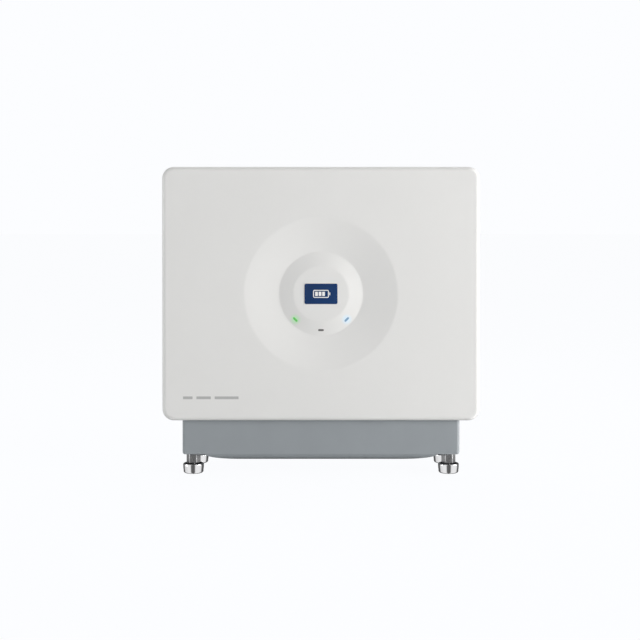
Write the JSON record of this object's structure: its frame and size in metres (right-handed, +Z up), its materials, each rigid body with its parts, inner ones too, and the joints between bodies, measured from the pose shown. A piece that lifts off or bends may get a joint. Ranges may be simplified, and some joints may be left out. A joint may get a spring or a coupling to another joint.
{
  "type": "home battery cabinet",
  "caption": "Slim floor-standing home battery cabinet with a white front cover, round light hub, grey base, and chrome levelling feet.",
  "frame": {"origin": "on the floor, under the middle of the cabinet's bounding box", "axes": "+X to the viewer's right, -Y to the front, +Z up"},
  "size_m": [0.606, 0.184, 0.5905],
  "materials": {
    "cover_white": "satin white, fine grain",
    "emblem_navy": "gloss navy with a plain white pictogram",
    "light_green": "glowing light guide",
    "light_off": "unlit smoked light guide",
    "light_blue": "glowing light guide",
    "housing_paint": "grey powder coat",
    "plated_steel": "zinc plated sheet",
    "screw_steel": "stainless screws",
    "foot_chrome": "turned and plated steel",
    "insert_brass": "machined",
    "rubber_black": "matt",
    "plastic_black": "fine grain",
    "window_clear": "clear",
    "board_green": "soldermask",
    "cell_blue": "wrapped in blue film",
    "plate_aluminium": "extruded",
    "copper": "copper, lightly oxidised",
    "relay_black": "moulded",
    "resistor_gold": "gold anodised",
    "fuse_ceramic": "glazed body with metal blades",
    "cable_red": "silicone sheath",
    "cable_black": "silicone sheath",
    "knob_red": "moulded",
    "button_blue": "moulded",
    "connector_red": "moulded",
    "connector_black": "moulded"
  },
  "bodies": {
    "cabinet": {"housing_shell": "housing_paint", "housing_lid": "housing_paint", "lid_gasket": "rubber_black", "lid_screws": "screw_steel", "clip_sockets": "plastic_black", "display_pod": "plastic_black", "display_windows": "window_clear", "led_board": "board_green", "base_skirt": "housing_paint", "base_rails": "plated_steel", "foot_inserts": "insert_brass", "base_screws": "screw_steel", "base_bolts": "screw_steel", "wall_brackets": "plated_steel", "bracket_screws": "screw_steel", "wall_buffers": "rubber_black", "carry_handles": "plastic_black", "handle_screws": "screw_steel", "cells_lower": "cell_blue", "cells_upper": "cell_blue", "end_plates": "plate_aluminium", "tie_straps": "plated_steel", "module_shelf": "plated_steel", "busbar_frames": "plastic_black", "busbars": "copper", "cell_boards": "board_green", "bms_tray": "plated_steel", "bms_board": "board_green", "contactors": "relay_black", "precharge_resistor": "resistor_gold", "main_fuse": "fuse_ceramic", "current_shunt": "copper", "cable_positive": "cable_red", "cable_negative": "cable_black", "signal_harness": "cable_black", "isolator_body": "plastic_black", "button_bezel": "screw_steel", "dc_connector_positive": "connector_red", "dc_connector_negative": "connector_black", "com_sockets": "plastic_black", "earth_stud": "insert_brass", "pressure_vent": "plastic_black"},
    "cover": {"front_cover": "cover_white", "hub_ring": "cover_white", "hub_cap": "cover_white", "emblem_plate": "emblem_navy", "light_guide_left": "light_green", "light_guide_bottom": "light_off", "light_guide_right": "light_blue", "cover_studs": "plated_steel"},
    "switch_knob": {"isolator_knob": "knob_red"},
    "button": {"start_button": "button_blue"},
    "pad_front_left": {"foot_pad_front_left": "foot_chrome"},
    "stud_front_left": {"foot_stud_front_left": "foot_chrome"},
    "pad_front_right": {"foot_pad_front_right": "foot_chrome"},
    "stud_front_right": {"foot_stud_front_right": "foot_chrome"},
    "pad_rear_left": {"foot_pad_rear_left": "foot_chrome"},
    "stud_rear_left": {"foot_stud_rear_left": "foot_chrome"},
    "pad_rear_right": {"foot_pad_rear_right": "foot_chrome"},
    "stud_rear_right": {"foot_stud_rear_right": "foot_chrome"}
  },
  "joints": [
    {"name": "cover_pull", "type": "slide", "parent": "cabinet", "child": "cover", "axis": [0, -1, 0], "range_m": [0, 0.12]},
    {"name": "switch_turn", "type": "hinge", "parent": "cabinet", "child": "switch_knob", "pos_m": [0.27, 0.02, 0.53], "axis": [1, 0, 0], "range_deg": [0, 90]},
    {"name": "button_press", "type": "slide", "parent": "cabinet", "child": "button", "axis": [-1, 0, 0], "range_m": [0, 0.002], "stiffness_N_per_m": 600, "springref_m": -0.0025},
    {"name": "foot_front_left_height", "type": "slide", "parent": "cabinet", "child": "pad_front_left", "axis": [0, 0, -1], "range_m": [0, 0.012]},
    {"name": "foot_front_left_turn", "type": "hinge", "parent": "pad_front_left", "child": "stud_front_left", "pos_m": [-0.247, -0.05, 0.03], "axis": [0, 0, -1], "range_deg": [0, 2880]},
    {"name": "foot_front_right_height", "type": "slide", "parent": "cabinet", "child": "pad_front_right", "axis": [0, 0, -1], "range_m": [0, 0.012]},
    {"name": "foot_front_right_turn", "type": "hinge", "parent": "pad_front_right", "child": "stud_front_right", "pos_m": [0.247, -0.05, 0.03], "axis": [0, 0, -1], "range_deg": [0, 2880]},
    {"name": "foot_rear_left_height", "type": "slide", "parent": "cabinet", "child": "pad_rear_left", "axis": [0, 0, -1], "range_m": [0, 0.012]},
    {"name": "foot_rear_left_turn", "type": "hinge", "parent": "pad_rear_left", "child": "stud_rear_left", "pos_m": [-0.247, 0.054, 0.03], "axis": [0, 0, -1], "range_deg": [0, 2880]},
    {"name": "foot_rear_right_height", "type": "slide", "parent": "cabinet", "child": "pad_rear_right", "axis": [0, 0, -1], "range_m": [0, 0.012]},
    {"name": "foot_rear_right_turn", "type": "hinge", "parent": "pad_rear_right", "child": "stud_rear_right", "pos_m": [0.247, 0.054, 0.03], "axis": [0, 0, -1], "range_deg": [0, 2880]}
  ],
  "couplings": [
    {"joint": "foot_front_left_turn", "follows": "foot_front_left_height", "rad_per_m": 4188.8},
    {"joint": "foot_front_right_turn", "follows": "foot_front_right_height", "rad_per_m": 4188.8},
    {"joint": "foot_rear_left_turn", "follows": "foot_rear_left_height", "rad_per_m": 4188.8},
    {"joint": "foot_rear_right_turn", "follows": "foot_rear_right_height", "rad_per_m": 4188.8}
  ]
}
